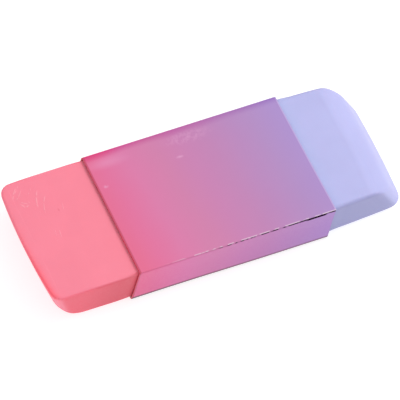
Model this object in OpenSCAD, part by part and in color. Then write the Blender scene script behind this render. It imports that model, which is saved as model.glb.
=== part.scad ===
// Two-colour rubber eraser in a folded card sleeve, lying flat on its underside.
//
// Frame: +X runs from the pink end to the lavender end, +Y to the back and +Z up.
// The origin is under the middle of the block, on the surface that the sleeve lies on.
// All sizes are in millimetres and all angles in degrees.

/* [Rubber block] */
// Length of the block from one tip to the other
block_len = 59.8; // [50:0.1:80]
// Width of the block
block_w = 20.4; // [14:0.1:30]
// Thickness of the block
block_t = 7.35; // [5:0.05:14]
// Angle between a slanted end and the flat underside
end_slant = 62; // [40:1:75]
// Rounding of the sharp tip at each end
tip_r = 1.1; // [0.6:0.1:1.6]
// Rounding of the blunt edge at each end
blunt_r = 3.4; // [2:0.1:7]
// Rounding of the four corners, seen along the slanted ends
corner_r = 2.4; // [1:0.1:5]
// Rounding of the four long edges
edge_r = 0.5; // [0.3:0.1:1.5]
// Where the pink compound meets the lavender one, from the middle of the block
join_x = 0; // [-8:0.5:8]

/* [Card sleeve] */
// Length of the sleeve along the block
sleeve_len = 32.2; // [20:0.1:40]
// Place of the sleeve's middle, from the middle of the block
sleeve_x = 0; // [-4:0.1:4]
// Thickness of the card
card_t = 0.15; // [0.1:0.05:0.6]
// Outer rounding of each folded crease
crease_r = 0.4; // [0.3:0.05:0.8]
// Width of the glued flap that is folded in under the top panel
flap_w = 7; // [4:0.5:10]

/* [Fit] */
// Gap between the card and the rubber on each side, so that the sleeve slides
slip = 0.05; // [0.03:0.01:0.1]

/* [Hidden] */
$fn = 96;

pink = "#f98a9c";
lavender = "#bdc0ee";
print_purple = "#d07db0";

// How far a tool that cuts right through runs past the part
past = 1;
// How far the slanted prism stands off the slanted ends and the sides, so that no two planes lie
// in each other and its corner rounds meet them at a clean edge
stand_off = 0.01;
// How far the blunt round swells past the two faces that it joins, so that it meets each at a clean edge
swell = 0.002;

// How far the tip's round reaches back from the sharp corner, along each of its two edges
tip_run = tip_r / tan(end_slant / 2);
// The blunt round stays within the thickness, and clear of the tip's round on the slanted end
blunt_limit = (block_t / sin(end_slant) - tip_run) / tan(end_slant / 2);
blunt_fit_r = min(blunt_r, block_t, blunt_limit);
// How far the blunt round reaches back from its corner, along each of its two edges
blunt_run = blunt_fit_r * tan(end_slant / 2);
// Half the length that the block would have with sharp tips
sharp_x = block_len / 2 + tip_run - tip_r;
// How far one end leans over the thickness of the block
lean = block_t / tan(end_slant);
// Length of the slanted prism, square to the slanted ends
prism_len = 2 * sharp_x * sin(end_slant) - block_t * cos(end_slant) + 2 * stand_off;

// The sleeve follows the block: a gap and a card on each side, and the flap as a second layer on top
sleeve_w = block_w + 2 * (card_t + slip);
sleeve_h = block_t + 3 * card_t + 2 * slip;
// Inner rounding of a crease
crease_in_r = max(crease_r - card_t, card_t / 4);
// Height of the block's underside above the surface that the sleeve lies on
block_z = card_t + slip;

// Rectangle of size [along, across] about its middle, with four rounded corners.
module rounded_plate(size, r) {
    square([size.x - 2 * r, size.y], center = true);
    square([size.x, size.y - 2 * r], center = true);
    for (sx = [-1, 1], sy = [-1, 1])
        translate([sx * (size.x / 2 - r), sy * (size.y / 2 - r)]) circle(r = r);
}

// Side view of one end, whose sharp tip points along +X at the underside: a leaning four-sided
// outline from the middle of the block, with a small round at the tip and a large one at the top.
module end_outline() {
    blunt_x = sharp_x - lean;
    // From a rounded corner back along the slanted end
    up = [-cos(end_slant), sin(end_slant)];
    polygon([
        [0, 0],
        [sharp_x - tip_run, 0],
        [sharp_x, 0] + tip_run * up,
        [blunt_x, block_t] - blunt_run * up,
        [blunt_x - blunt_run, block_t],
        [0, block_t]
    ]);
    translate([sharp_x - tip_run, tip_r]) circle(r = tip_r);
    translate([blunt_x - blunt_run, block_t - blunt_fit_r]) circle(r = blunt_fit_r + swell);
}

// Side view of the whole block: the same end twice, the second one turned over.
module side_outline() {
    end_outline();
    translate([0, block_t]) rotate(180) end_outline();
}

// The eraser block, lying on z = 0: what its side view, its slanted prism and its
// cross-section have in common.
module block() {
    intersection() {
        rotate([90, 0, 0])
            linear_extrude(block_w + 2 * past, center = true) side_outline();
        translate([0, 0, block_t / 2]) rotate([0, end_slant - 90, 0])
            linear_extrude(3 * block_t + block_len, center = true)
                rounded_plate([prism_len, block_w + 2 * stand_off], corner_r);
        translate([0, 0, block_t / 2]) rotate([90, 0, 90])
            linear_extrude(block_len + 2 * past, center = true)
                rounded_plate([block_w, block_t], edge_r);
    }
}

// Everything on one side of the plane where the two compounds meet: side is -1 or 1.
module half_space(side) {
    reach = block_len + abs(join_x);
    translate([join_x + side * reach / 2, 0, block_t / 2])
        cube([reach, block_w + 2 * past, block_t + 2 * past], center = true);
}

module pink_rubber() {
    color(pink) translate([0, 0, block_z])
        intersection() {
            block();
            half_space(-1);
        }
}

module lavender_rubber() {
    color(lavender) translate([0, 0, block_z])
        intersection() {
            block();
            half_space(1);
        }
}

// What lies between a square corner, at its upper left, and the round of radius r that fits in it.
module corner_web(r) {
    difference() {
        square([r, r]);
        translate([r, 0]) circle(r = r);
    }
}

// Section through the sleeve: x runs along the eraser's Y and y along its Z.
// One strip of card goes round the block. It starts as the flap under the top panel, folds down
// the front, under the block, up the back and over the top, and ends in a cut edge at the front.
module sleeve_section() {
    front = -sleeve_w / 2;
    top_under = sleeve_h - card_t;
    difference() {
        union() {
            translate([0, sleeve_h / 2]) rounded_plate([sleeve_w, sleeve_h], crease_r);
            // Cut edge of the top panel, flush with the front
            translate([front, top_under]) square([2 * crease_r, card_t]);
        }
        // Groove under the cut edge, where the front panel's fold turns in
        translate([front, top_under - crease_r]) corner_web(crease_r);
        // Inside of the sleeve, less the flap and the inner round of its fold
        difference() {
            translate([0, sleeve_h / 2])
                rounded_plate([sleeve_w - 2 * card_t, sleeve_h - 2 * card_t], crease_in_r);
            translate([front, top_under - card_t]) square([card_t + flap_w, 2 * card_t]);
            translate([front + card_t, top_under - card_t - crease_in_r]) corner_web(crease_in_r);
        }
    }
}

module card_sleeve() {
    color(print_purple) translate([sleeve_x, 0, 0]) rotate([90, 0, 90])
        linear_extrude(sleeve_len, center = true) sleeve_section();
}

pink_rubber();
lavender_rubber();
card_sleeve();
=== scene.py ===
"""Two-colour rubber eraser in a folded card sleeve, laid out as an add-on round its CAD frame.

Each Operator makes one piece, or one group of like pieces, and the Panel lists them in order.
All sizes in the settings are in metres and all angles in radians, as Blender keeps them.
"""

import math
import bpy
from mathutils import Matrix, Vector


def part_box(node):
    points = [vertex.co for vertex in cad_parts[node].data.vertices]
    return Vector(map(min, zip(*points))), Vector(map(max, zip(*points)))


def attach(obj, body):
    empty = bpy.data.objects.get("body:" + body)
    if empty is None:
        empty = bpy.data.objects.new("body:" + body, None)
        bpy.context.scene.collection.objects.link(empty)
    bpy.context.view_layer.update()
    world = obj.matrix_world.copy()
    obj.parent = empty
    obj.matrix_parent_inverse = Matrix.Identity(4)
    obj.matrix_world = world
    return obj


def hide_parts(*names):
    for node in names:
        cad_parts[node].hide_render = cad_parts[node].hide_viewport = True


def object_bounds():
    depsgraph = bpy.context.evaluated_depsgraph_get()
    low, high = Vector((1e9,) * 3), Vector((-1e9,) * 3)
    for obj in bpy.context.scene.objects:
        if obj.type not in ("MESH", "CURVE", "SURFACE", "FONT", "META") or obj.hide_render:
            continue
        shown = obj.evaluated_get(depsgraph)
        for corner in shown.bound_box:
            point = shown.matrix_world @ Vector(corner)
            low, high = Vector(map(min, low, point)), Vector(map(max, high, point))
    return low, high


bl_info = {
    "name": "Sleeved Two-Colour Eraser",
    "version": (1, 0, 0),
    "blender": (4, 5, 0),
    "location": "View3D > Sidebar > Eraser",
    "description": "Makes a slanted two-colour rubber eraser, its folded card sleeve and a plain stage",
    "category": "Add Mesh",
}

import bmesh
import bpy
import numpy as np
from bpy.props import FloatProperty, FloatVectorProperty, PointerProperty
from bpy.types import Operator, Panel, PropertyGroup
from mathutils import Matrix, Vector

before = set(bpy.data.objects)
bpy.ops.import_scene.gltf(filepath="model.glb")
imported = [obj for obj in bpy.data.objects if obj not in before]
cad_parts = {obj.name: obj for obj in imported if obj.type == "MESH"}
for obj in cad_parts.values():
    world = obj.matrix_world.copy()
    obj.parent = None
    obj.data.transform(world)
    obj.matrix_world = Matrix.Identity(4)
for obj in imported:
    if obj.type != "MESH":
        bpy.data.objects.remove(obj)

MM = 0.001
CAD_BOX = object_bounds()
LAVENDER_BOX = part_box("lavender_rubber")
SLEEVE_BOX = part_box("card_sleeve")

BLOCK_WIDTH = LAVENDER_BOX[1][1] - LAVENDER_BOX[0][1]
BLOCK_THICKNESS = LAVENDER_BOX[1][2] - LAVENDER_BOX[0][2]
BLOCK_MIDDLE_Z = (LAVENDER_BOX[1][2] + LAVENDER_BOX[0][2]) / 2
BLOCK_TOP_Z = LAVENDER_BOX[1][2]
SLEEVE_START = SLEEVE_BOX[0][0]
SLEEVE_LENGTH = SLEEVE_BOX[1][0] - SLEEVE_START
SLEEVE_TOP_Z = SLEEVE_BOX[1][2]
# The rubber's faces start to draw in about here, by the sleeve's mouth, and have drawn in fully this much further on
TAPER_START, TAPER_LENGTH = 16 * MM, 14 * MM
# Edges that turn by more than this are shaded as sharp
SHARP_ANGLE = math.radians(40)


# ------------------------ settings


class RubberSettings(PropertyGroup):
    """Shape and colours of one rubber half of the block. The defaults are the pink half's."""

    reach: FloatProperty(
        name="End Reach", description="Distance from the block's middle to the slanted end, square to that end",
        default=27.19 * MM, min=10 * MM, max=60 * MM, unit="LENGTH")
    slant: FloatProperty(
        name="End Slant", description="Angle between the slanted end and the flat faces",
        default=math.radians(68.3), min=math.radians(35), max=math.radians(90), subtype="ANGLE")
    tip_round: FloatProperty(
        name="Tip Round", description="Rounding along the sharp edge of the end",
        default=0.7 * MM, min=0.1 * MM, max=3 * MM, unit="LENGTH")
    blunt_round: FloatProperty(
        name="Blunt Round", description="Rounding along the blunt edge of the end",
        default=3.6 * MM, min=0.5 * MM, max=3.65 * MM, unit="LENGTH")
    blunt_power: FloatProperty(
        name="Blunt Power", description="2 for an even round along the blunt edge, nearer to 1 for a flat bevel",
        default=2.0, min=1.0, max=2.0)
    corner_round: FloatProperty(
        name="Corner Round", description="Rounding where the sides meet the end",
        default=1.98 * MM, min=0.3 * MM, max=5 * MM, unit="LENGTH")
    edge_round: FloatProperty(
        name="Long Edge Round", description="Rounding of the four long edges",
        default=0.25 * MM, min=0.1 * MM, max=2 * MM, unit="LENGTH")
    side_taper: FloatProperty(
        name="Side Taper", description="How far each side draws in by the end",
        default=0.0, min=0.0, max=2 * MM, unit="LENGTH")
    swell: FloatProperty(
        name="Side Swell", description="How far each side stands out beyond the mouth, or draws in if below 0",
        default=0.15 * MM, min=-0.5 * MM, max=0.5 * MM, unit="LENGTH")
    flat_taper: FloatProperty(
        name="Flat Taper", description="How far the top and the underside draw in by the end",
        default=0.5 * MM, min=0.0, max=1 * MM, unit="LENGTH")
    crown: FloatProperty(
        name="End Crown", description="How far the end stands out in its middle, over its corners",
        default=0.53 * MM, min=0.0, max=2 * MM, unit="LENGTH")
    body_colour: FloatVectorProperty(
        name="Body Colour", description="Colour of the rubber's broad faces",
        default=(0.89, 0.219, 0.303), min=0.0, max=1.0, size=3, subtype="COLOR")
    # Painted light: the thin edges' colour stands for light passing through the rubber
    edge_glow_colour: FloatVectorProperty(
        name="Edge Colour", description="Deeper colour along thin edges, where light passes through the rubber",
        default=(1.0, 0.12, 0.17), min=0.0, max=1.0, size=3, subtype="COLOR")
    # Painted shade: the narrow side faces are coloured darker than the broad ones, as if in shade
    side_shade_colour: FloatVectorProperty(
        name="Side Shade Colour", description="Colour of the rubber's narrow side faces",
        default=(0.685, 0.074, 0.118), min=0.0, max=1.0, size=3, subtype="COLOR")
    # Painted shade on the side faces towards the end; on the pink half it is lighter there than by the sleeve
    corner_shade_colour: FloatVectorProperty(
        name="Corner Shade Colour", description="Colour of the side faces towards the end",
        default=(0.82, 0.106, 0.163), min=0.0, max=1.0, size=3, subtype="COLOR")
    # On the pink half this is painted shade beside the sleeve; on the lavender half a faint tint
    mouth_tint_and_shade_colour: FloatVectorProperty(
        name="Mouth Tint and Shade Colour", description="Colour of the rubber beside the sleeve's mouth",
        default=(0.87, 0.21, 0.29), min=0.0, max=1.0, size=3, subtype="COLOR")
    dust_colour: FloatVectorProperty(
        name="Dust Colour", description="Colour of the pale rubbed strokes",
        default=(0.93, 0.36, 0.43), min=0.0, max=1.0, size=3, subtype="COLOR")
    marks: FloatProperty(
        name="Marks", description="Strength of the marks of use on the top face",
        default=0.62, min=0.0, max=1.0, subtype="FACTOR")


class SleeveSettings(PropertyGroup):
    """Shape and colours of the folded card sleeve."""

    card: FloatProperty(
        name="Card Thickness", description="Thickness of the card",
        default=0.15 * MM, min=0.1 * MM, max=0.6 * MM, unit="LENGTH")
    crease: FloatProperty(
        name="Crease Round", description="Rounding of each crease, along the middle of the card",
        default=0.325 * MM, min=0.15 * MM, max=1 * MM, unit="LENGTH")
    flap: FloatProperty(
        name="Flap Width", description="Width of the flap folded in under the top panel",
        default=7 * MM, min=3 * MM, max=12 * MM, unit="LENGTH")
    lift: FloatProperty(
        name="Cut Edge Lift", description="How far the top panel's cut edge springs up at the lavender end",
        default=0.1 * MM, min=0.0, max=0.5 * MM, unit="LENGTH")
    bulge: FloatProperty(
        name="Mouth Bulge", description="How far the front panel's lower edge stands out at the lavender end",
        default=0.25 * MM, min=0.0, max=0.6 * MM, unit="LENGTH")
    skew: FloatProperty(
        name="Mouth Skew", description="How far the lavender mouth runs askew, at each side",
        default=0.2 * MM, min=0.0, max=0.6 * MM, unit="LENGTH")
    board_colour: FloatVectorProperty(
        name="Board Colour", description="Colour of the bare board inside the sleeve",
        default=(0.66, 0.62, 0.6), min=0.0, max=1.0, size=3, subtype="COLOR")
    # Painted light: a factor that makes the front panel lighter, for the reflection it catches
    front_painted_light: FloatVectorProperty(
        name="Front Painted Light", description="Painted light on the front panel, as a factor for each colour",
        default=(1.02, 0.82, 1.05), min=0.0, soft_max=2.0, size=3, subtype="COLOR")
    cut_colour: FloatVectorProperty(
        name="Cut Edge Colour", description="Colour of the board where it was cut",
        default=(0.72, 0.58, 0.72), min=0.0, max=1.0, size=3, subtype="COLOR")


class StageSettings(PropertyGroup):
    """Camera, lights and floor."""

    azimuth: FloatProperty(
        name="Camera Azimuth", description="Camera's direction round the object, from its front",
        default=math.radians(-41.99), subtype="ANGLE")
    elevation: FloatProperty(
        name="Camera Elevation", description="Camera's angle above the floor",
        default=math.radians(58.21), subtype="ANGLE")
    roll: FloatProperty(
        name="Camera Roll", description="Turn of the camera about its line of sight",
        default=math.radians(19.68), subtype="ANGLE")
    distance: FloatProperty(
        name="Camera Distance", description="Camera's distance from the sleeve's middle",
        default=1.387, min=0.2, max=5.0, unit="LENGTH")
    lens: FloatProperty(
        name="Lens", description="Focal length of the camera, in millimetres",
        default=845.0, min=50.0, max=2000.0, unit="CAMERA")
    aim_right: FloatProperty(
        name="Aim Right", description="How far the view's centre lies left of the sleeve's middle",
        default=0.563 * MM, unit="LENGTH")
    aim_up: FloatProperty(
        name="Aim Up", description="How far the view's centre lies below the sleeve's middle",
        default=0.453 * MM, unit="LENGTH")
    sky: FloatProperty(
        name="Sky Strength", description="Strength of the even light from all round",
        default=0.78, min=0.0, max=5.0)
    key: FloatProperty(
        name="Key Power", description="Power of the large lamp beyond the lavender end",
        default=1.52, min=0.0, max=50.0, unit="POWER")
    glow: FloatProperty(
        name="Floor Glow", description="Light that the floor gives out by itself, as a lit table does",
        default=0.68, min=0.0, max=2.0)
    floor_colour: FloatVectorProperty(
        name="Floor Colour", description="Colour of the plain floor",
        default=(0.5, 0.5, 0.5), min=0.0, max=1.0, size=3, subtype="COLOR")


# ------------------------ mesh helpers

WAVE_COUNT = 9


def mesh_object(name, points, quads, triangles, body):
    """A mesh object from an array of points and arrays of face corners, riding on a CAD body."""
    mesh = bpy.data.meshes.new(name)
    loops = np.concatenate([quads.ravel(), triangles.ravel()]).astype(np.int32)
    totals = np.concatenate([np.full(len(quads), 4), np.full(len(triangles), 3)]).astype(np.int32)
    mesh.vertices.add(len(points))
    mesh.vertices.foreach_set("co", points.astype(np.float32).ravel())
    mesh.loops.add(len(loops))
    mesh.loops.foreach_set("vertex_index", loops)
    mesh.polygons.add(len(totals))
    mesh.polygons.foreach_set("loop_start", np.concatenate([[0], np.cumsum(totals)[:-1]]).astype(np.int32))
    mesh.update(calc_edges=True)
    mesh.validate()
    mesh.shade_smooth()
    piece = bpy.data.objects.new(name, mesh)
    bpy.context.scene.collection.objects.link(piece)
    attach(piece, body)
    return piece


def point_attribute(piece, name, values):
    """One number for each point of a piece, which its material can read."""
    layer = piece.data.attributes.new(name, "FLOAT", "POINT")
    layer.data.foreach_set("value", values.astype(np.float32))


def merge_doubles(piece):
    """Makes points that stand in one place one point, and drops the faces that this shrinks to nothing."""
    mesh = bmesh.new()
    mesh.from_mesh(piece.data)
    bmesh.ops.remove_doubles(mesh, verts=mesh.verts, dist=0.0001 * MM)
    mesh.to_mesh(piece.data)
    mesh.free()


def cells(index):
    """Corners of each cell of a grid of point numbers."""
    return np.stack([index[:-1, :-1], index[1:, :-1], index[1:, 1:], index[:-1, 1:]], axis=-1).reshape(-1, 4)


def strip(first, second):
    """Corners of the faces between two lines of point numbers."""
    return np.stack([first[:-1], first[1:], second[1:], second[:-1]], axis=-1)


def smooth_step(low, high, x):
    """0 below low and 1 above high, with a soft S between them."""
    t = np.clip((x - low) / (high - low), 0.0, 1.0)
    return t * t * (3.0 - 2.0 * t)


def waves(x, y, z, size, seed):
    """A calm uneven field, mostly between -1 and 1: the sum of nine sine waves in random directions,
    whose lengths are near the given size, over half their number."""
    rng = np.random.default_rng(seed)
    total = np.zeros(np.broadcast(x, y, z).shape)
    for _ in range(WAVE_COUNT):
        direction = rng.normal(size=3)
        direction /= np.linalg.norm(direction)
        length = size * rng.uniform(0.7, 1.6)
        phase = rng.uniform(0, 2 * np.pi)
        total += np.sin(2 * np.pi * (direction[0] * x + direction[1] * y + direction[2] * z) / length + phase)
    return total / (WAVE_COUNT / 2)


# ------------------------ rubber


def round_join(a, b, radius, power=2.0):
    """Distance outside two faces that meet in a round: inside, the larger of both distances;
    within one radius of both faces, the distance from the line one radius inside them, less the radius.
    At power 2 the round is even; nearer to 1 it turns into a flat bevel with two soft ridges."""
    away_a, away_b = np.maximum(a + radius, 1e-12), np.maximum(b + radius, 1e-12)
    outside = (away_a ** power + away_b ** power) ** (1.0 / power)
    return np.minimum(np.maximum(a, b), -radius) + outside


def soft_larger(a, b, blend):
    """The larger of two numbers, and a little more where they are within blend of each other."""
    return np.maximum(a, b) + np.maximum(blend - np.abs(a - b), 0.0) ** 2 / (4 * blend)


def drawn_in(x):
    """The share of its taper that a face has at x: nothing up to the sleeve's mouth, then a parabola."""
    return np.clip((x - TAPER_START) / TAPER_LENGTH, 0.0, None) ** 2


def side_field(x, y, s):
    """How far a point lies outside the sides, which swell beyond the sleeve's mouth and draw in by the end."""
    swell = s.swell * smooth_step(TAPER_START, TAPER_START + 2.5 * MM, x)
    return np.abs(y) - (BLOCK_WIDTH / 2 - s.side_taper * drawn_in(x) + swell)


def block_faces(x, y, z, s):
    """How far a point lies outside the slanted end, the sides, and the top and underside."""
    end = x * np.sin(s.slant) + z * np.cos(s.slant) - s.reach + s.crown * (2 * y / BLOCK_WIDTH) ** 2
    flat = np.abs(z) - (BLOCK_THICKNESS / 2 - s.flat_taper * drawn_in(x))
    return end, side_field(x, y, s), flat


def half_block_field(x, y, z, s):
    """How far a point lies outside one half of the block, whose z is towards its blunt edge.
    The half is where three things meet: the slanted end, which stands out in its middle by the crown;
    the sides, and the top with the underside, which both draw in towards the end by a parabola."""
    end, side, flat = block_faces(x, y, z, s)
    # The tip's round turns into the blunt one over the middle of the thickness
    to_blunt = smooth_step(-1.2 * MM, 1.2 * MM, z)
    end_round = s.tip_round + (s.blunt_round - s.tip_round) * to_blunt
    end_power = 2.0 - (2.0 - s.blunt_power) * to_blunt
    at_flats = round_join(flat, end, end_round, end_power)
    at_sides = round_join(side, end, s.corner_round)
    field = soft_larger(at_flats, at_sides, 0.5 * MM)
    return soft_larger(field, round_join(side, flat, s.edge_round), 0.3 * MM)


def section_loop(core_y, core_z, steps_y, steps_z, steps_corner):
    """Points on the rim of a flat rectangle, and an outward direction for each, once round.
    Along a straight run the direction is square to it; at a corner the point stands still and the
    direction turns."""
    turn = np.linspace(0, 1, steps_corner, endpoint=False)
    corners = [(core_y, core_z), (-core_y, core_z), (-core_y, -core_z), (core_y, -core_z)]
    y, z, angle = [], [], []
    for i in range(4):
        cy, cz = corners[i]
        ny, nz = corners[(i + 1) % 4]
        steps = steps_y if i % 2 == 0 else steps_z
        along = np.linspace(0, 1, steps, endpoint=False)
        y += [np.full(steps_corner, cy), cy + (ny - cy) * along]
        z += [np.full(steps_corner, cz), cz + (nz - cz) * along]
        angle += [(i + turn) * np.pi / 2, np.full(steps, (i + 1) * np.pi / 2)]
    return np.concatenate(y), np.concatenate(z), np.concatenate(angle)


def half_block_surface(s):
    """The surface of one half as a grid of points, join face first.
    A point of the grid starts on a smaller core inside the half and runs outwards, square to the face
    it belongs to, or fanned round an edge, until the field above is nothing: found by halving a span."""
    # How far the core lies inside the faces
    inset = 1.3 * MM
    core_y = BLOCK_WIDTH / 2 - s.side_taper - inset
    core_z = BLOCK_THICKNESS / 2 - s.flat_taper - inset
    loop_y, loop_z, loop_angle = section_loop(core_y, core_z, 110, 26, 10)
    square = np.stack([np.zeros_like(loop_y), np.cos(loop_angle), np.sin(loop_angle)], axis=-1)
    end_way = np.array([np.sin(s.slant), 0.0, np.cos(s.slant)])
    end_run = s.reach - s.crown - inset
    core_end = (end_run - loop_z * np.cos(s.slant)) / np.sin(s.slant)

    # Along the block: close rings at the join, even rings in the middle and close rings near the end
    along = np.concatenate([[0.0, 0.004, 0.01], np.linspace(0.02, 0.52, 24)[:-1], np.linspace(0.52, 1.0, 96)])
    along = along[:, None]
    body_core = np.stack([along * core_end, loop_y + 0 * along, loop_z + 0 * along], axis=-1)
    body_way = np.broadcast_to(square, body_core.shape)
    # Round the rim of the end: the way out turns from square to the section to square to the end
    turn = np.linspace(0, 1, 37)[1:, None]
    angle = np.arccos(np.clip(square @ end_way, -1, 1))
    fan = (np.sin((1 - turn) * angle)[..., None] * square
           + np.sin(turn * angle)[..., None] * end_way) / np.sin(angle)[:, None]
    fan_core = np.broadcast_to(body_core[-1], fan.shape)
    # Over the end: the core's rim shrinks to the middle
    shrink = np.linspace(1, 0, 34)[1:, None, None]
    middle = np.array([end_run / np.sin(s.slant), 0.0, 0.0])
    end_core = middle + shrink * (body_core[-1] - middle)
    core = np.concatenate([body_core, fan_core, end_core])
    way = np.concatenate([body_way, fan, np.broadcast_to(end_way, end_core.shape)])

    low, high = np.full(core.shape[:2], -0.3 * MM), np.full(core.shape[:2], 3.0 * MM)
    for _ in range(34):
        mid = (low + high) / 2
        point = core + mid[..., None] * way
        inside = half_block_field(point[..., 0], point[..., 1], point[..., 2], s) < 0
        low, high = np.where(inside, mid, low), np.where(inside, high, mid)
    surface = core + ((low + high) / 2)[..., None] * way
    # A fine groove runs round the join, where the two compounds were moulded together
    body = surface[: len(along)]
    groove = 0.05 * MM * np.exp(-np.maximum(body[..., 0], 0) / (0.12 * MM))
    body -= groove[..., None] * body_way
    return surface


def rubber_half(name, s, flip):
    """One rubber half. The grid's first ring closes on the middle of the flat join face, and its last
    ring is one point in the middle of the slanted end. The pink half is the same turned end over end."""
    rings = half_block_surface(s)
    shrink = np.linspace(0, 1, 7)[1:-1, None, None]
    join = rings[0] * shrink
    join[..., 0] = 0.0
    shell = np.concatenate([join, rings[:-1]])
    count_u, count_v = shell.shape[:2]
    points = np.concatenate([shell.reshape(-1, 3), [[0.0, 0.0, 0.0]], rings[-1, :1]])
    x, y, z = points.T
    side = smooth_step(-0.15 * MM - 0.55 * s.edge_round, -0.04 * MM, side_field(x, y, s))

    # Handling marks: a slightly uneven skin, and worn corners
    coarse_seed, fine_seed = (3, 7) if flip else (4, 8)
    skin = 0.012 * MM * (1 + waves(x, y, z, 9 * MM, coarse_seed)) + 0.006 * MM * waves(x, y, z, 3.1 * MM, fine_seed)
    on_side, on_flat = np.abs(y) > 9.5 * MM, np.abs(z) > 3.2 * MM
    inward = np.stack([np.zeros_like(x), -np.sign(y) * on_side, -np.sign(z) * on_flat], axis=-1)
    points = points + (smooth_step(0.0, 2 * MM, x) * skin)[:, None] * inward
    thin = edge_nearness(*points.T, s)

    index = np.arange(count_u * count_v).reshape(count_u, count_v)
    index = np.concatenate([index, index[:, :1]], axis=1)
    quads = cells(index.T)
    first, last = count_u * count_v, count_u * count_v + 1
    cap_first = np.stack([np.full(count_v, first), index[0, 1:], index[0, :-1]], axis=-1)
    cap_last = np.stack([index[-1, :-1], index[-1, 1:], np.full(count_v, last)], axis=-1)

    if flip:
        points = points * np.array([-1.0, 1.0, -1.0])
    points[:, 2] += BLOCK_MIDDLE_Z
    piece = mesh_object(name, points, quads, np.concatenate([cap_first, cap_last]), "block")
    point_attribute(piece, "thin", thin)
    point_attribute(piece, "side", side)
    merge_doubles(piece)
    piece.data.set_sharp_from_angle(angle=SHARP_ANGLE)
    return piece


def edge_nearness(x, y, z, s):
    """How thin the rubber is nearby: 1 on the tip's sharp edge, most towards the front, fading over 2 mm,
    and less along the sides of the end."""
    end, side, flat = block_faces(x, y, z, s)
    at_tip = np.exp(-np.maximum(-end - flat - 0.35 * MM, 0) / (0.6 * MM)) * smooth_step(1 * MM, -1 * MM, z)
    at_tip = at_tip * (0.3 + 0.7 * smooth_step(8 * MM, -9 * MM, y))
    at_side = np.exp(-np.maximum(-side, 0) / (0.8 * MM)) * np.exp(-np.maximum(-end, 0) / (4 * MM))
    return np.clip(at_tip + 0.3 * at_side, 0, 1)


# ------------------------ card sleeve

# How far the top panel's cut edge lies in from the front face
CUT_BACK = 0.02 * MM
# How far the strip map moves the inner side and the cut faces on, in metres
INNER_SHIFT, CUT_SHIFT = 0.5, 1.0


def folded_line(corners, radius, straight_step, arc_steps):
    """A path in a plane through corners, each rounded by the same radius, with its direction at each point.
    Straight runs are cut evenly; a corner is an arc from one run's direction to the next."""
    corners = np.asarray(corners, float)
    legs = np.diff(corners, axis=0)
    ways = legs / np.linalg.norm(legs, axis=1)[:, None]
    points, directions = [], []
    start = corners[0]
    for i, way in enumerate(ways):
        last = i == len(ways) - 1
        stop = corners[i + 1] if last else corners[i + 1] - radius * way
        steps = max(2, int(round(np.linalg.norm(stop - start) / straight_step)))
        t = np.linspace(0, 1, steps + 1)
        # Points crowd towards both ends of a run, where the creases and cut edges are
        t = t - 0.09 * np.sin(2 * np.pi * t)
        points.append(start + (stop - start) * t[:, None])
        directions.append(np.broadcast_to(way, (steps + 1, 2)))
        if last:
            break
        nxt = ways[i + 1]
        a = np.linspace(0, np.pi / 2, arc_steps + 1)[1:-1, None]
        points.append(stop + radius * (np.sin(a) * way + (1 - np.cos(a)) * nxt))
        directions.append(np.cos(a) * way + np.sin(a) * nxt)
        start = corners[i + 1] + radius * nxt
    return np.concatenate(points), np.concatenate(directions)


def sleeve_surface(s):
    """The card strip as two grids, its outer and its inner side, and the lengths along the strip and
    along the sleeve. The middle line of the card is folded round the block; each side lies half a card
    off it. Along the sleeve the line is the same, but the top panel's free edge springs up towards the
    lavender end."""
    (_, y0, z0), (_, y1, z1) = SLEEVE_BOX
    half_card = s.card / 2
    flap_z = z1 - 3 * half_card
    line, way = folded_line([
        (y0 + 2 * half_card + s.flap, flap_z), (y0 + half_card, flap_z), (y0 + half_card, z0 + half_card),
        (y1 - half_card, z0 + half_card), (y1 - half_card, z1 - half_card), (y0 + CUT_BACK, z1 - half_card)],
        s.crease, 0.45 * MM, 8)
    length = np.concatenate([[0], np.cumsum(np.linalg.norm(np.diff(line, axis=0), axis=1))])
    outward = np.stack([way[:, 1], -way[:, 0]], axis=-1)

    # Sections crowd a little towards both mouths
    t = np.linspace(0, 1, 101)
    share = t - 0.012 * np.sin(4 * np.pi * t)
    along = SLEEVE_LENGTH * share
    x = SLEEVE_START + along
    run = length[-1] - length
    rise = s.lift * smooth_step(9 * MM, 0.0, run) ** 1.5 * smooth_step(0.0, 1.0, share)[:, None] ** 2
    wobble = 0.018 * MM * waves(x, 0 * x, 0 * x, 5 * MM, 11)[:, None] * smooth_step(0.4 * MM, 0.0, run)
    # The lavender mouth runs a little askew
    askew = s.skew * share ** 2
    # Each side is drawn a hair's breadth inside the card's own, so that the flap and the top panel stay apart
    half_drawn = half_card - 0.005 * MM
    sides = []
    for sign in (1.0, -1.0):
        side_y, side_z = (line + sign * half_drawn * outward).T
        grid = np.empty((len(x), len(line), 3))
        grid[..., 0] = x[:, None] - askew[:, None] * (side_y / y1)
        grid[..., 1] = side_y + wobble
        grid[..., 2] = side_z + rise
        # Panels aren't quite flat: the top one bows by a few hundredths of a millimetre between its creases
        bow = 0.016 * MM * waves(*np.moveaxis(grid, -1, 0), 17 * MM, 21)
        to_crease = np.minimum(np.abs(grid[..., 1] - y0), np.abs(grid[..., 1] - y1))
        on_top = grid[..., 2] > z1 - 2.4 * half_card
        grid[..., 2] -= np.abs(bow) * smooth_step(0, 2 * MM, to_crease) * on_top
        # The front panel's lower edge stands out towards the lavender mouth
        low = smooth_step(6 * MM, 0.0, grid[..., 2]) * smooth_step(y0 + 2.5 * MM, y0, grid[..., 1])
        grid[..., 1] -= s.bulge * low * (0.45 + 0.55 * smooth_step(-10 * MM, 8 * MM, x))[:, None]
        sides.append(grid)
    return sides[0], sides[1], length, along


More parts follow.
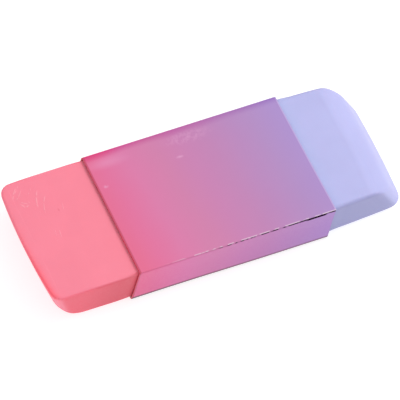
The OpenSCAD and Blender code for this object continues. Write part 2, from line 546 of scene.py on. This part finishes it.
def strip_marks(s):
    """Lengths along the strip, from the flap's cut edge, of the front panel's upper and lower ends and
    the top panel's cut edge."""
    (_, y0, z0), (_, y1, z1) = SLEEVE_BOX
    half_card = s.card / 2
    arc = s.crease * math.pi / 2
    fold = s.flap + half_card - s.crease + arc
    foot = fold + (z1 - z0) - 4 * half_card - 2 * s.crease
    back_foot = foot + arc + (y1 - y0) - 2 * half_card - 2 * s.crease + arc
    back_top = back_foot + (z1 - z0) - 2 * half_card - 2 * s.crease
    edge = back_top + arc + (y1 - y0) - half_card - s.crease - CUT_BACK
    return fold, foot, edge


def folded_sleeve(name, s):
    """The folded strip as one closed mesh: outer side, inner side, both cut edges and both mouths.
    Its strip map holds the length along the strip and along the sleeve, in metres. The inner side and
    the cut faces are moved on along the strip, so that a material can tell them apart."""
    outer, inner, length, along = sleeve_surface(s)
    count_u, count_v = outer.shape[:2]
    points = np.concatenate([outer.reshape(-1, 3), inner.reshape(-1, 3)])
    o = np.arange(count_u * count_v).reshape(count_u, count_v)
    i = o + count_u * count_v
    uv = np.stack(np.broadcast_arrays(length, along[:, None]), axis=-1).reshape(-1, 2)
    uv = np.concatenate([uv, uv])
    groups = [
        (cells(o)[:, ::-1], 0.0), (cells(i), INNER_SHIFT),
        (strip(o[:, 0], i[:, 0]), CUT_SHIFT), (strip(i[:, -1], o[:, -1]), CUT_SHIFT),
        (strip(i[0], o[0]), CUT_SHIFT), (strip(o[-1], i[-1]), CUT_SHIFT),
    ]
    quads = np.concatenate([faces for faces, _ in groups])
    shift = np.concatenate([np.full(len(faces), moved) for faces, moved in groups])
    piece = mesh_object(name, points, quads, np.zeros((0, 3), int), "sleeve")
    layer = piece.data.uv_layers.new(name="strip")
    corner_uv = uv[quads]
    corner_uv[..., 0] += shift[:, None]
    layer.data.foreach_set("uv", corner_uv.astype(np.float32).ravel())
    piece.data.set_sharp_from_angle(angle=SHARP_ANGLE)
    return piece


# ------------------------ materials


class Nodes:
    """A short way to lay out a material's nodes."""

    def __init__(self, name):
        self.material = bpy.data.materials.new(name)
        self.material.use_nodes = True
        self.tree = self.material.node_tree
        self.tree.nodes.clear()
        self.shader = self.add("ShaderNodeBsdfPrincipled")
        output = self.add("ShaderNodeOutputMaterial")
        self.tree.links.new(self.shader.outputs[0], output.inputs["Surface"])

    def add(self, kind, inputs=None, **settings):
        """A node of a kind, with its settings and its inputs, which are numbers or other nodes' outputs."""
        node = self.tree.nodes.new(kind)
        for key, value in settings.items():
            setattr(node, key, value)
        for key, value in (inputs or {}).items():
            self.put(node.inputs[key], value)
        return node

    def put(self, socket, value):
        """Links an output to an input, or sets the input's own number."""
        if isinstance(value, bpy.types.NodeSocket):
            self.tree.links.new(value, socket)
        else:
            socket.default_value = value

    def math(self, operation, a, b=0.0, clamp=False):
        """A Math node's result."""
        return self.add("ShaderNodeMath", {0: a, 1: b}, operation=operation, use_clamp=clamp).outputs[0]

    def times(self, a, b):
        """The product of two numbers."""
        return self.math("MULTIPLY", a, b)

    def plus(self, a, b):
        """The sum of two numbers."""
        return self.math("ADD", a, b)

    def largest(self, masks):
        """The largest of some masks at each place."""
        result = masks[0]
        for mask in masks[1:]:
            result = self.math("MAXIMUM", result, mask)
        return result

    def vector(self, operation, a, b=(0.0, 0.0, 0.0)):
        """A Vector Math node's outputs."""
        return self.add("ShaderNodeVectorMath", {0: a, 1: b}, operation=operation).outputs

    def step(self, value, low, high, to_low=0.0, to_high=1.0):
        """A soft S from one number to another as value goes from low to high."""
        return self.add("ShaderNodeMapRange", {"Value": value, "From Min": low, "From Max": high,
                                               "To Min": to_low, "To Max": to_high},
                        interpolation_type="SMOOTHSTEP").outputs[0]

    def mix(self, share, a, b):
        """Colour a, turning into colour b as share goes from 0 to 1."""
        return self.add("ShaderNodeMix", {0: share, 6: a, 7: b}, data_type="RGBA").outputs[2]

    def tint(self, colour, where, amount, target):
        """A colour, turned into a target colour by an amount where a mask is 1."""
        return self.mix(self.times(where, amount), colour, rgba(target))

    def noise(self, place, scale, detail=2.0, roughness=0.5):
        """A noise field between 0 and 1 at a place."""
        return self.add("ShaderNodeTexNoise", {"Vector": place, "Scale": scale, "Detail": detail,
                                               "Roughness": roughness}).outputs[0]

    def near(self, place, spot, height):
        """1 at the centre of a spot at a height, fading to 0 at its reach. A spot is its centre from above
        and its reach, in millimetres, with a stretch between them for the space that it is measured in."""
        (x, y), stretch, reach = spot
        moved = self.vector("SUBTRACT", place, (x * MM, y * MM, height))[0]
        away = self.vector("LENGTH", self.vector("MULTIPLY", moved, stretch)[0])["Value"]
        return self.step(away, reach * MM, 0.0)

    def stroke(self, place, line):
        """1 along a short stroke seen from above, fading at its sides and ends. A line is its start, its
        stop and its width, in millimetres, and its bend: how far its middle stands to one side, as a
        share of the width."""
        (ax, ay), (bx, by), width, bend = line
        half = math.hypot(bx - ax, by - ay) / 2
        way_x, way_y = (bx - ax) / (2 * half), (by - ay) / (2 * half)
        moved = self.vector("SUBTRACT", place, ((ax + bx) / 2 * MM, (ay + by) / 2 * MM, 0.0))[0]
        moved = self.vector("MULTIPLY", moved, (1 / MM, 1 / MM, 0.0))[0]
        along = self.vector("DOT_PRODUCT", moved, (way_x / half, way_y / half, 0.0))["Value"]
        across = self.vector("DOT_PRODUCT", moved, (-way_y / width, way_x / width, 0.0))["Value"]
        if bend:
            arc = self.math("SUBTRACT", 1.0, self.times(along, along))
            across = self.math("SUBTRACT", across, self.times(arc, bend))
        return self.times(self.step(self.math("ABSOLUTE", across), 1.0, 0.2),
                          self.step(self.math("ABSOLUTE", along), 1.0, 0.6))

    def band(self, value, low, high, soft):
        """1 where a value lies between two numbers, fading to 0 over a soft margin outside them."""
        return self.times(self.step(value, low - soft, low), self.step(value, high + soft, high))

    def bump(self, height, distance, strength, normal=None):
        """A bump from a height, in metres when it is scaled by distance."""
        inputs = {"Height": height, "Distance": distance, "Strength": strength}
        if normal is not None:
            inputs["Normal"] = normal
        return self.add("ShaderNodeBump", inputs).outputs[0]


def rgba(colour):
    """A colour setting as the four numbers that a socket takes."""
    return (colour[0], colour[1], colour[2], 1.0)


# Pale strokes on the pink half's top face, from above, in millimetres: (start, stop, width, bend)
PINK_STROKES = [
    ((-28.6, 7.4), (-27.3, 9.2), 0.13, 1.0), ((-28.2, 7.2), (-26.8, 8.6), 0.10, -1.0),
    ((-27.9, 8.3), (-26.9, 9.4), 0.10, 0.0), ((-28.4, 6.3), (-27.4, 5.6), 0.20, 1.5),
    ((-27.4, 5.7), (-26.4, 6.5), 0.18, -1.5), ((-28.0, 6.9), (-26.5, 5.9), 0.10, 0.0),
    ((-25.6, 3.8), (-24.4, 7.9), 0.16, 2.5), ((-25.0, 3.6), (-23.7, 6.6), 0.12, 2.0),
    ((-26.2, 7.4), (-24.9, 9.0), 0.10, -1.0), ((-25.2, -1.3), (-24.8, 0.8), 0.10, 0.0),
    ((-24.4, -0.9), (-24.2, 0.6), 0.09, 0.0), ((-22.2, 3.4), (-21.9, 4.6), 0.10, 0.0),
]
# Small dents on the same face, in the same way: (centre, stretch, reach)
PINK_DENTS = [
    ((-23.5, 3.0), (1.0, 1.0, 1.0), 0.42), ((-22.9, 3.6), (1.3, 0.8, 1.0), 0.40),
    ((-27.1, 6.1), (1.0, 1.0, 1.0), 0.40), ((-28.2, 8.9), (1.0, 1.0, 1.0), 0.45),
]


def rubber_material(name, s, marked):
    """Matte eraser rubber: an even body colour, painted shade on the narrow sides, a painted glow of light through
    the rubber along thin edges, a fine moulded grain and, where it is marked, pale strokes and small darker dents on
    the top face."""
    n = Nodes(name)
    place = n.add("ShaderNodeTexCoord").outputs["Object"]
    x, _, z = n.add("ShaderNodeSeparateXYZ", {0: place}).outputs
    thin = n.add("ShaderNodeAttribute", attribute_name="thin").outputs["Fac"]
    side = n.add("ShaderNodeAttribute", attribute_name="side").outputs["Fac"]
    clouds = n.noise(place, 210.0)
    fine = n.noise(place, 2600.0, 3.0, 0.6)
    paler = [min(1.0, c * 1.025 + 0.004) for c in s.body_colour]
    body = n.mix(n.step(clouds, 0.3, 0.72), rgba(s.body_colour), rgba(paler))
    # By the sleeve's mouth the rubber is tinted: on the lavender half a faint light blue, on the pink half a little
    # darker, as painted shade beside the sleeve
    from_middle = n.math("ABSOLUTE", x)
    body = n.tint(body, n.step(from_middle, 18.6 * MM, 16.4 * MM), 0.3, s.mouth_tint_and_shade_colour)
    # Painted shade: the narrow sides take the side shade colour by the sleeve, and the corner shade colour towards
    # the end
    by_end = n.step(from_middle, 18 * MM, 26 * MM)
    body = n.mix(side, body, n.mix(by_end, rgba(s.side_shade_colour), rgba(s.corner_shade_colour)))
    # Painted light: thin edges take the edge glow colour, for light passing through the rubber
    body = n.mix(n.step(thin, 0.04, 0.9), body, rgba(s.edge_glow_colour))
    normal = n.bump(fine, 0.010 * MM, 0.6)

    if marked:
        top = n.step(z, BLOCK_TOP_Z - 0.95 * MM, BLOCK_TOP_Z - 0.45 * MM)
        broken = n.times(n.step(n.noise(place, 1300.0, 2.0, 0.6), 0.40, 0.56), top)
        pale = n.times(n.largest([n.stroke(place, line) for line in PINK_STROKES]), broken)
        dark = n.times(n.largest([n.near(place, dent, BLOCK_TOP_Z) for dent in PINK_DENTS]), broken)
        body = n.tint(body, pale, s.marks, s.dust_colour)
        body = n.tint(body, dark, s.marks, s.side_shade_colour)
        normal = n.bump(n.math("SUBTRACT", pale, dark), 0.02 * MM, 1.0, normal)

    n.put(n.shader.inputs["Base Color"], body)
    n.put(n.shader.inputs["Roughness"], n.step(fine, 0.2, 0.8, 0.5, 0.62))
    n.shader.inputs["Specular IOR Level"].default_value = 0.38
    n.shader.inputs["Sheen Weight"].default_value = 0.06
    n.shader.inputs["Sheen Roughness"].default_value = 0.5
    n.shader.inputs["Subsurface Weight"].default_value = 0.12
    n.shader.inputs["Subsurface Scale"].default_value = 1.2 * MM
    n.shader.inputs["Subsurface Radius"].default_value = (1.0, 0.5, 0.5)
    n.put(n.shader.inputs["Normal"], normal)
    return n.material


# How far the fade runs on, as a share of the sleeve's length, for each metre towards the back
FADE_SLANT = 3.5
# Print colours along the sleeve, from the pink mouth to the lavender one
PRINT_FADE = [
    (0.00, (0.719, 0.112, 0.246)), (0.10, (0.689, 0.126, 0.294)), (0.22, (0.636, 0.155, 0.344)),
    (0.36, (0.569, 0.167, 0.351)), (0.50, (0.516, 0.171, 0.387)), (0.62, (0.471, 0.179, 0.403)),
    (0.74, (0.423, 0.192, 0.440)), (0.86, (0.383, 0.207, 0.473)), (1.00, (0.352, 0.218, 0.527)),
]


# Places on the top panel, from above, in millimetres: (centre, stretch, reach). The red corner is painted shade and
# the sheen spot a painted sheen; the rub and the specks are wear
RED_CORNER = ((-14.2, 10.1), (0.2, 1.0, 0.4), 1.1)
SHEEN_SPOT = ((-12.9, 8.3), (0.3, 1.1, 1.0), 1.4)
RUB = ((0.4, 8.4), (0.27, 1.0, 1.0), 1.4)
SPECKS = [((-14.8, 4.6), (0.75, 1.3, 1.0), 0.5), ((-2.1, 5.6), (0.55, 1.5, 1.0), 0.48)]
# Ink and board where the sleeve shows wear or is cut, and painted shade and sheen: the corner red, the pink rim, the
# pink cut face, the foot and the gap colours are painted shade, and the pale wear colour also paints a sheen
CORNER_SHADE_RED = (0.70, 0.05, 0.17)
WEAR_AND_SHEEN_INK = (0.80, 0.42, 0.66)
LAVENDER_RIM = (0.62, 0.56, 0.86)
PINK_RIM_SHADE = (0.46, 0.03, 0.08)
FOOT_SHADE = (0.11, 0.012, 0.045)
CUT_LINE = (0.83, 0.66, 0.76)
GAP_SHADE = (0.02, 0.005, 0.02)
PINK_CUT_SHADE = (0.80, 0.07, 0.13)


def card_material(name, s):
    """Printed card: a pink-to-purple fade on the outer side under a thin satin varnish, bare board
    inside, and a fibrous cut edge. The front panel is painted lighter, as painted light; the print is painted deeper
    by the back crease and at the pink mouth's back corner, as painted shade; a painted sheen and rubbed places lie
    on the top. Positions across are lengths along the folded strip."""
    n = Nodes(name)
    place = n.add("ShaderNodeTexCoord").outputs["Object"]
    x, y, z = n.add("ShaderNodeSeparateXYZ", {0: place}).outputs
    strip_map = n.add("ShaderNodeUVMap", uv_map="strip").outputs[0]
    across, along, _ = n.add("ShaderNodeSeparateXYZ", {0: strip_map}).outputs
    inner = n.math("GREATER_THAN", across, INNER_SHIFT / 2)
    cut = n.math("GREATER_THAN", across, (INNER_SHIFT + CUT_SHIFT) / 2)
    fold, foot, edge = strip_marks(s)
    front = n.band(across, fold, foot, 0.25 * MM)
    top = n.step(z, SLEEVE_TOP_Z - 0.3 * MM, SLEEVE_TOP_Z - 0.1 * MM)

    # The fade, a little cloudy and askew
    clouds = n.noise(place, 130.0, 3.0, 0.55)
    share = n.math("DIVIDE", along, SLEEVE_LENGTH)
    share = n.plus(share, n.times(n.math("SUBTRACT", clouds, 0.5), 0.06))
    share = n.plus(share, n.times(y, FADE_SLANT))
    fade = n.add("ShaderNodeValToRGB", {0: share})
    ramp = fade.color_ramp
    ramp.elements[0].position, ramp.elements[0].color = PRINT_FADE[0][0], rgba(PRINT_FADE[0][1])
    ramp.elements[1].position, ramp.elements[1].color = PRINT_FADE[-1][0], rgba(PRINT_FADE[-1][1])
    for position, ink in PRINT_FADE[1:-1]:
        ramp.elements.new(position).color = rgba(ink)
    colour = fade.outputs[0]

    # Painted light: the front panel's print is made lighter, for the bright reflection that the front catches
    light = n.add("ShaderNodeMix", {0: 1.0, 6: colour, 7: rgba(s.front_painted_light)}, data_type="RGBA",
                  blend_type="MULTIPLY").outputs[2]
    colour = n.mix(front, colour, light)

    # Painted shade: the print is made deeper along the back crease and at the pink mouth's back corner, where the
    # turning card catches less sheen
    uneven_y = n.plus(y, n.times(n.noise(place, 90.0, 1.0), 0.9 * MM))
    deep = n.add("ShaderNodeHueSaturation", {"Saturation": 1.22, "Value": 0.88, "Color": colour}).outputs[0]
    colour = n.mix(n.times(n.step(uneven_y, 9.4 * MM, 10.6 * MM), 0.9), colour, deep)
    colour = n.tint(colour, n.near(place, RED_CORNER, SLEEVE_TOP_Z), 0.45, CORNER_SHADE_RED)

    # Pale places: two hazy bands inside the back crease, one a painted sheen and one rubbed thin, and two fine
    # specks of wear
    painted_sheen = n.near(place, SHEEN_SPOT, SLEEVE_TOP_Z)
    rubbed = n.times(n.near(place, RUB, SLEEVE_TOP_Z), n.step(n.noise(place, 1500.0, 3.0, 0.65), 0.4, 0.62))
    specks = n.largest([n.near(place, speck, SLEEVE_TOP_Z) for speck in SPECKS])
    specks = n.times(specks, n.step(n.noise(place, 2400.0), 0.3, 0.55))
    wear_and_sheen = n.plus(n.plus(n.times(painted_sheen, 0.2), n.times(rubbed, 0.26)), n.times(specks, 0.4))
    wear_and_sheen = n.math("MULTIPLY", wear_and_sheen, top, clamp=True)
    colour = n.mix(wear_and_sheen, colour, rgba(WEAR_AND_SHEEN_INK))

    # Rims: board shows along the lavender mouth, and a deep line of painted shade runs along the pink one, where the
    # card's edge lies in shade
    rim = n.times(n.step(along, SLEEVE_LENGTH - 0.24 * MM, SLEEVE_LENGTH - 0.12 * MM), top)
    colour = n.tint(colour, rim, 0.35, LAVENDER_RIM)
    colour = n.tint(colour, n.step(along, 0.34 * MM, 0.14 * MM), 0.8, PINK_RIM_SHADE)

    # The front panel's foot turns under in the shade
    under = n.times(n.step(across, foot - 0.42 * MM, foot - 0.24 * MM),
                    n.step(across, foot + 1.2 * MM, foot + 0.9 * MM))
    colour = n.tint(colour, under, n.step(x, -12 * MM, 13 * MM, 0.9, 0.7), FOOT_SHADE)

    # The top panel's cut edge: a broken pale line on the print, and a broken dark one on the fold under it
    breaks = n.noise(place, 1050.0, 1.0)
    grown = n.step(x, -9 * MM, 12.5 * MM)
    pale_part = n.step(n.plus(breaks, n.times(grown, 0.07)), 0.47, 0.56)
    pale_part = n.times(pale_part, n.step(x, -13 * MM, -5 * MM))
    pale = n.times(n.band(across, edge - 0.09 * MM, edge, 0.05 * MM), pale_part)
    colour = n.tint(colour, pale, 0.5, CUT_LINE)
    thin = n.band(across, fold - 0.27 * MM, fold - 0.13 * MM, 0.03 * MM)
    thin = n.times(thin, n.step(n.plus(breaks, n.times(grown, 0.12)), 0.53, 0.62))
    thick = n.band(across, fold - 0.27 * MM, fold + 0.02 * MM, 0.04 * MM)
    thick = n.times(thick, n.band(x, 11.8 * MM, 14.5 * MM, 0.5 * MM))
    dark = n.largest([n.times(thin, n.step(x, -9 * MM, 1 * MM)), thick])
    colour = n.mix(dark, colour, rgba(GAP_SHADE))

    # Bare board inside, and the cut faces
    board = n.mix(n.noise(place, 1900.0, 3.0, 0.6), rgba([c * 0.9 for c in s.board_colour]), rgba(s.board_colour))
    fibres = n.step(n.noise(place, 1100.0, 3.0, 0.7), 0.35, 0.6)
    cut_face = n.mix(fibres, rgba([c * 0.62 for c in s.cut_colour]), rgba(s.cut_colour))
    cut_face = n.mix(n.times(pale_part, 0.8), colour, cut_face)
    # Painted shade: at the pink mouth the cut face is coloured dark red, for its shade and the red light from the
    # rubber
    at_pink = n.step(x, SLEEVE_START + 0.3 * MM, SLEEVE_START + 0.05 * MM)
    cut_face = n.mix(at_pink, cut_face, rgba(PINK_CUT_SHADE))
    colour = n.mix(cut, n.mix(inner, colour, board), cut_face)

    # Satin varnish, rougher where there is wear or the painted sheen and where it is bare, and none in the gap under
    # the cut edge
    grain = n.noise(place, 3200.0, 2.0, 0.6)
    rough = n.step(n.plus(grain, n.times(wear_and_sheen, 0.4)), 0.2, 1.0, 0.34, 0.56)
    bare = n.largest([inner, cut])
    varnished = n.math("SUBTRACT", 1.0, dark)
    n.put(n.shader.inputs["Base Color"], colour)
    n.put(n.shader.inputs["Roughness"], n.math("ADD", rough, n.times(bare, 0.4), clamp=True))
    n.put(n.shader.inputs["Specular IOR Level"], n.times(varnished, 0.45))
    n.put(n.shader.inputs["Coat Weight"], n.times(varnished, 0.12))
    n.shader.inputs["Coat Roughness"].default_value = 0.3
    fibre_bump = n.bump(grain, 0.006 * MM, 0.6)
    n.put(n.shader.inputs["Normal"], n.bump(n.noise(place, 210.0), 0.05 * MM, 0.5, fibre_bump))
    return n.material


def floor_material(name, colour, glow):
    """A plain pale matt floor with a barely uneven surface, lit a little from within."""
    n = Nodes(name)
    place = n.add("ShaderNodeTexCoord").outputs["Object"]
    fine = n.noise(place, 300.0, 3.0, 0.6)
    paler = [min(1.0, c * 1.01) for c in colour]
    n.put(n.shader.inputs["Base Color"], n.mix(fine, rgba(colour), rgba(paler)))
    n.shader.inputs["Roughness"].default_value = 0.9
    n.shader.inputs["Specular IOR Level"].default_value = 0.1
    n.shader.inputs["Emission Color"].default_value = (1.0, 1.0, 1.0, 1.0)
    n.shader.inputs["Emission Strength"].default_value = glow
    return n.material


# ------------------------ operators


def dress(piece, material, slot, *nodes):
    """Gives a piece its material, and lets it stand for its CAD nodes, which it hides. The slot is not used."""
    piece.data.materials.append(material)
    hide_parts(*nodes)


class ERASER_OT_rubber_block(Operator):
    """Makes the pink and the lavender rubber halves of the block"""

    bl_idname = "eraser.rubber_block"
    bl_label = "Rubber Block"

    def execute(self, context):
        scene = context.scene
        pink = rubber_half("pink_rubber_half", scene.eraser_pink, True)
        dress(pink, rubber_material("Pink Rubber", scene.eraser_pink, True), "pink_rubber", "pink_rubber")
        lavender = rubber_half("lavender_rubber_half", scene.eraser_lavender, False)
        dress(lavender, rubber_material("Lavender Rubber", scene.eraser_lavender, False),
              "lavender_rubber", "lavender_rubber")
        return {"FINISHED"}


class ERASER_OT_card_sleeve(Operator):
    """Makes the folded and printed card sleeve"""

    bl_idname = "eraser.card_sleeve"
    bl_label = "Card Sleeve"

    def execute(self, context):
        settings = context.scene.eraser_sleeve
        sleeve = folded_sleeve("folded_card_sleeve", settings)
        dress(sleeve, card_material("Printed Card", settings), "printed_card", "card_sleeve")
        return {"FINISHED"}


class ERASER_OT_stage(Operator):
    """Makes the floor, the lights and the camera"""

    bl_idname = "eraser.stage"
    bl_label = "Stage"

    def execute(self, context):
        scene, s = context.scene, context.scene.eraser_stage
        self.floor(scene, s)
        self.sky(scene, s)
        self.key_lamp(scene, s)
        self.camera(scene, s)
        scene.view_settings.view_transform = "Standard"
        scene.view_settings.look = "None"
        return {"FINISHED"}

    def floor(self, scene, s):
        """A square floor, 4 m each way, a hair's breadth below the sleeve's underside."""
        t = np.linspace(-2, 2, 9)
        x, y = np.meshgrid(t, t, indexing="ij")
        points = np.stack([x, y, np.full_like(x, CAD_BOX[0][2] - 0.02 * MM)], axis=-1).reshape(-1, 3)
        quads = cells(np.arange(x.size).reshape(x.shape))
        mesh = bpy.data.meshes.new("floor")
        mesh.from_pydata(points.tolist(), [], quads.tolist())
        mesh.materials.append(floor_material("Floor", s.floor_colour, s.glow))
        floor = bpy.data.objects.new("floor", mesh)
        scene.collection.objects.link(floor)

    def sky(self, scene, s):
        """Even white light from all round."""
        world = bpy.data.worlds.new("Sky")
        scene.world = world
        world.use_nodes = True
        background = world.node_tree.nodes["Background"]
        background.inputs["Color"].default_value = (1.0, 1.0, 1.0, 1.0)
        background.inputs["Strength"].default_value = s.sky

    def key_lamp(self, scene, s):
        """A square soft lamp above the lavender end, which looks at the eraser."""
        light = bpy.data.lights.new("Key Lamp", "AREA")
        light.shape, light.size, light.energy = "SQUARE", 0.24, s.key
        lamp = bpy.data.objects.new("Key Lamp", light)
        way = Vector((0.62, 0.14, 0.77)).normalized()
        lamp.location = way * 0.6
        lamp.rotation_euler = way.to_track_quat("Z", "Y").to_euler()
        scene.collection.objects.link(lamp)

    def camera(self, scene, s):
        """A long lens that looks down on the eraser, turned a little about its line of sight."""
        flat = math.cos(s.elevation)
        back = Vector((math.sin(s.azimuth) * flat, -math.cos(s.azimuth) * flat, math.sin(s.elevation)))
        level = Vector((math.cos(s.azimuth), math.sin(s.azimuth), 0.0))
        rise = back.cross(level)
        right = math.cos(s.roll) * level + math.sin(s.roll) * rise
        up = -math.sin(s.roll) * level + math.cos(s.roll) * rise
        middle = (Vector(SLEEVE_BOX[0]) + Vector(SLEEVE_BOX[1])) / 2
        place = middle - s.aim_right * right - s.aim_up * up + s.distance * back
        data = bpy.data.cameras.new("Camera")
        data.lens = s.lens
        data.sensor_width = 36.0
        data.clip_start, data.clip_end = 0.05, 20.0
        camera = bpy.data.objects.new("Camera", data)
        camera.matrix_world = Matrix((
            (right[0], up[0], back[0], place[0]), (right[1], up[1], back[1], place[1]),
            (right[2], up[2], back[2], place[2]), (0, 0, 0, 1)))
        scene.collection.objects.link(camera)
        scene.camera = camera


class ERASER_PT_panel(Panel):
    """Lists the eraser's pieces and their settings"""

    bl_idname = "ERASER_PT_panel"
    bl_label = "Eraser"
    bl_space_type = "VIEW_3D"
    bl_region_type = "UI"
    bl_category = "Eraser"

    def draw(self, context):
        layout, scene = self.layout, context.scene
        for title, settings in (("Pink Half", scene.eraser_pink), ("Lavender Half", scene.eraser_lavender),
                                ("Card Sleeve", scene.eraser_sleeve), ("Stage", scene.eraser_stage)):
            box = layout.box()
            box.label(text=title)
            for key in settings.__annotations__:
                box.prop(settings, key)
        for operator in MAKERS:
            layout.operator(operator.bl_idname)


MAKERS = (ERASER_OT_rubber_block, ERASER_OT_card_sleeve, ERASER_OT_stage)
CLASSES = (RubberSettings, SleeveSettings, StageSettings) + MAKERS + (ERASER_PT_panel,)


def register():
    """Adds the classes and the scene's settings."""
    for cls in CLASSES:
        bpy.utils.register_class(cls)
    scene = bpy.types.Scene
    scene.eraser_pink = PointerProperty(type=RubberSettings)
    scene.eraser_lavender = PointerProperty(type=RubberSettings)
    scene.eraser_sleeve = PointerProperty(type=SleeveSettings)
    scene.eraser_stage = PointerProperty(type=StageSettings)


def unregister():
    """Takes them away again, last first."""
    scene = bpy.types.Scene
    del scene.eraser_pink, scene.eraser_lavender, scene.eraser_sleeve, scene.eraser_stage
    for cls in reversed(CLASSES):
        bpy.utils.unregister_class(cls)


def lavender_half(s):
    """The lavender half's own sizes and colours, in place of the pink half's defaults."""
    s.reach, s.slant = 24.07 * MM, math.radians(59.23)
    s.tip_round, s.blunt_round, s.corner_round, s.edge_round = 0.6 * MM, 2.65 * MM, 2.2 * MM, 0.66 * MM
    s.blunt_power = 1.6
    s.side_taper, s.flat_taper, s.crown = 0.777 * MM, 0.0, 0.325 * MM
    s.swell = -0.15 * MM
    s.body_colour = (0.44, 0.445, 0.755)
    s.side_shade_colour = s.corner_shade_colour = (0.311, 0.312, 0.56)
    s.mouth_tint_and_shade_colour = (0.40, 0.47, 0.76)
    s.edge_glow_colour = (0.42, 0.43, 0.80)


def main():
    """Makes the pieces and the stage."""
    register()
    lavender_half(bpy.context.scene.eraser_lavender)
    bpy.ops.eraser.rubber_block()
    bpy.ops.eraser.card_sleeve()
    bpy.ops.eraser.stage()


if __name__ == "__main__":
    main()
